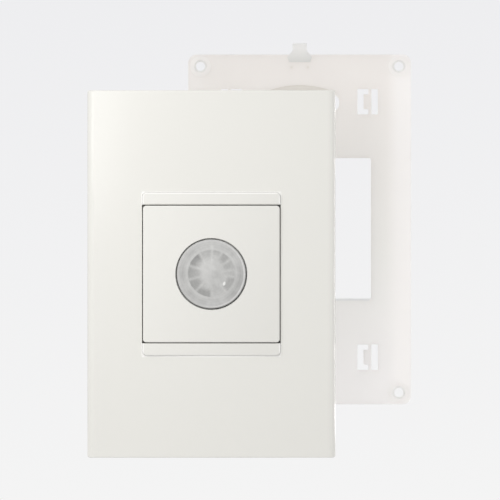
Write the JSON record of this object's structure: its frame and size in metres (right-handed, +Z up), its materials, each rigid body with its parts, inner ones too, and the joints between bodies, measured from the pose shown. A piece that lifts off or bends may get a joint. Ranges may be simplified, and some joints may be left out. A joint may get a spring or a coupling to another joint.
{
  "type": "motion sensor light switch",
  "caption": "Flush wall light switch with a domed infrared motion sensor in a square module, a pillow-shaped cover plate, a screw-on frame and a loose translucent back plate.",
  "frame": {"origin": "midway between the two box screws, on the wall plane", "axes": "+Z up along the cover's long side, +X to the right seen from the front, -Y out of the wall towards the room"},
  "size_m": [0.1061, 0.0399, 0.1358],
  "materials": {
    "ivory_gloss": "gloss",
    "ivory_satin": "satin",
    "milky_plastic": "translucent satin",
    "lens_plastic": "milky, translucent",
    "grey_plastic": "matte",
    "white_plastic": "matte",
    "circuit_board": "satin solder mask",
    "can_metal": "satin",
    "filter_glass": "dark, gloss",
    "clear_epoxy": "clear",
    "photocell": "gloss resin",
    "chip_black": "matte",
    "header_plastic": "matte",
    "gilt_pins": "bright",
    "relay_case": "satin",
    "film_case": "satin",
    "sleeve": "satin",
    "varistor_coat": "gloss resin",
    "resistor_coat": "matte ceramic",
    "trimmer_case": "matte",
    "rotor_plastic": "matte",
    "contact_metal": "bright",
    "zinc_steel": "zinc plated"
  },
  "bodies": {
    "module": {"support_frame": "ivory_satin", "module_housing": "white_plastic", "rear_base": "grey_plastic", "housing_screws": "zinc_steel", "fresnel_lens": "lens_plastic", "lens_retainer": "white_plastic", "sensor_board": "circuit_board", "power_board": "circuit_board", "pir_sensor_can": "can_metal", "pir_window": "filter_glass", "indicator_led": "clear_epoxy", "light_sensor": "photocell", "time_trimmer_body": "trimmer_case", "lux_trimmer_body": "trimmer_case", "controller_chip": "chip_black", "header_strip": "header_plastic", "header_pins": "gilt_pins", "relay": "relay_case", "dropper_capacitor": "film_case", "storage_capacitor": "sleeve", "varistor": "varistor_coat", "fusible_resistor": "resistor_coat", "bridge_rectifier": "chip_black", "terminal_contacts": "contact_metal"},
    "cover": {"cover_plate": "ivory_gloss"},
    "face": {"face_plate": "ivory_satin"},
    "time_rotor": {"time_trimmer_rotor": "rotor_plastic"},
    "lux_rotor": {"lux_trimmer_rotor": "rotor_plastic"},
    "rear_plate": {"back_plate": "milky_plastic"},
    "terminal_1_screw": {"terminal_screw_1": "zinc_steel"},
    "terminal_1_cage": {"terminal_cage_1": "contact_metal"},
    "terminal_2_screw": {"terminal_screw_2": "zinc_steel"},
    "terminal_2_cage": {"terminal_cage_2": "contact_metal"},
    "terminal_3_screw": {"terminal_screw_3": "zinc_steel"},
    "terminal_3_cage": {"terminal_cage_3": "contact_metal"}
  },
  "joints": [
    {"name": "cover_plate_pull", "type": "slide", "parent": "module", "child": "cover", "axis": [0, -1, 0], "range_m": [0, 0.03]},
    {"name": "face_plate_pull", "type": "slide", "parent": "module", "child": "face", "axis": [0, -1, 0], "range_m": [0, 0.02]},
    {"name": "time_trimmer_turn", "type": "hinge", "parent": "module", "child": "time_rotor", "pos_m": [-0.0109, -0.0045, -0.0165], "axis": [0, 1, 0], "range_deg": [-135, 135]},
    {"name": "lux_trimmer_turn", "type": "hinge", "parent": "module", "child": "lux_rotor", "pos_m": [0.0109, -0.0045, -0.0165], "axis": [0, 1, 0], "range_deg": [-135, 135]},
    {"name": "back_plate_slide", "type": "slide", "parent": "module", "child": "rear_plate", "axis": [0, 1, 0], "range_m": [0, 0.04]},
    {"name": "terminal_screw_1_turn", "type": "hinge", "parent": "module", "child": "terminal_1_screw", "pos_m": [-0.01, 0.0257, -0.0154], "axis": [0, -1, 0], "range_deg": [0, 1440.5]},
    {"name": "terminal_cage_1_slide", "type": "slide", "parent": "module", "child": "terminal_1_cage", "axis": [0, 1, 0], "range_m": [0, 0.0024]},
    {"name": "terminal_screw_2_turn", "type": "hinge", "parent": "module", "child": "terminal_2_screw", "pos_m": [0, 0.0257, -0.0154], "axis": [0, -1, 0], "range_deg": [0, 1440.5]},
    {"name": "terminal_cage_2_slide", "type": "slide", "parent": "module", "child": "terminal_2_cage", "axis": [0, 1, 0], "range_m": [0, 0.0024]},
    {"name": "terminal_screw_3_turn", "type": "hinge", "parent": "module", "child": "terminal_3_screw", "pos_m": [0.01, 0.0257, -0.0154], "axis": [0, -1, 0], "range_deg": [0, 1440.5]},
    {"name": "terminal_cage_3_slide", "type": "slide", "parent": "module", "child": "terminal_3_cage", "axis": [0, 1, 0], "range_m": [0, 0.0024]}
  ],
  "couplings": [
    {"joint": "terminal_screw_1_turn", "follows": "terminal_cage_1_slide", "rad_per_m": 10472},
    {"joint": "terminal_screw_2_turn", "follows": "terminal_cage_2_slide", "rad_per_m": 10472},
    {"joint": "terminal_screw_3_turn", "follows": "terminal_cage_3_slide", "rad_per_m": 10472}
  ]
}
